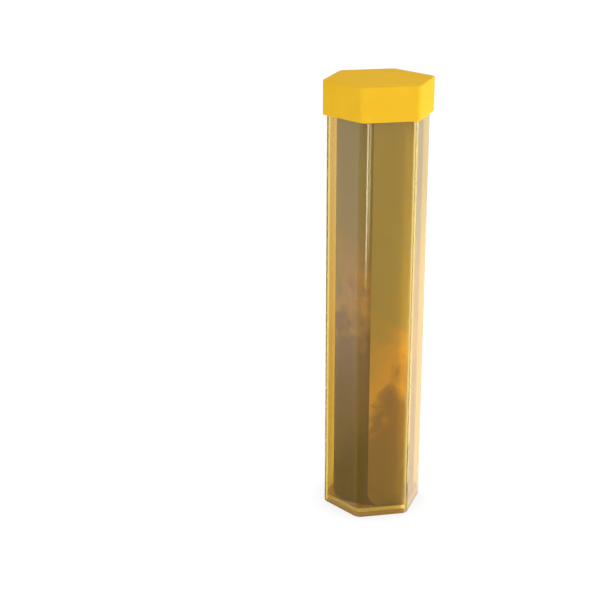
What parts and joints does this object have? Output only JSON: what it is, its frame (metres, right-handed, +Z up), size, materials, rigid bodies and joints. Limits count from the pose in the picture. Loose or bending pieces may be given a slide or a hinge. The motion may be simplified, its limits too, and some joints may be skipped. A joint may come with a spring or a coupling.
{
  "type": "playmat tube",
  "caption": "Clear hexagonal storage tube with a bonded floor and a soft push-on cap, holding a rolled cloth-faced rubber playmat.",
  "frame": {"origin": "middle of the tube's lower rim, which is the surface it stands on", "axes": "+Z up the tube towards the cap, two flats of the hexagon face along Y, the front one along -Y"},
  "size_m": [0.091, 0.0804, 0.37],
  "materials": {
    "tube_clear": "clear, tinted yellow, polished",
    "base_clear": "clear, tinted yellow",
    "cap_soft": "matte moulded soft plastic",
    "mat_print": "printed knit cloth",
    "mat_backing": "black foam rubber"
  },
  "bodies": {
    "tube": {"hex_tube": "tube_clear", "base_plate": "base_clear"},
    "playmat": {"mat_rubber": "mat_backing", "mat_cloth": "mat_print"},
    "cap": {"cap": "cap_soft"}
  },
  "joints": [
    {"name": "mat_draw", "type": "slide", "parent": "tube", "child": "playmat", "axis": [0, 0, 1], "range_m": [0, 0.365]},
    {"name": "cap_pull", "type": "slide", "parent": "playmat", "child": "cap", "axis": [0, 0, 1], "range_m": [0, 0.05]}
  ]
}
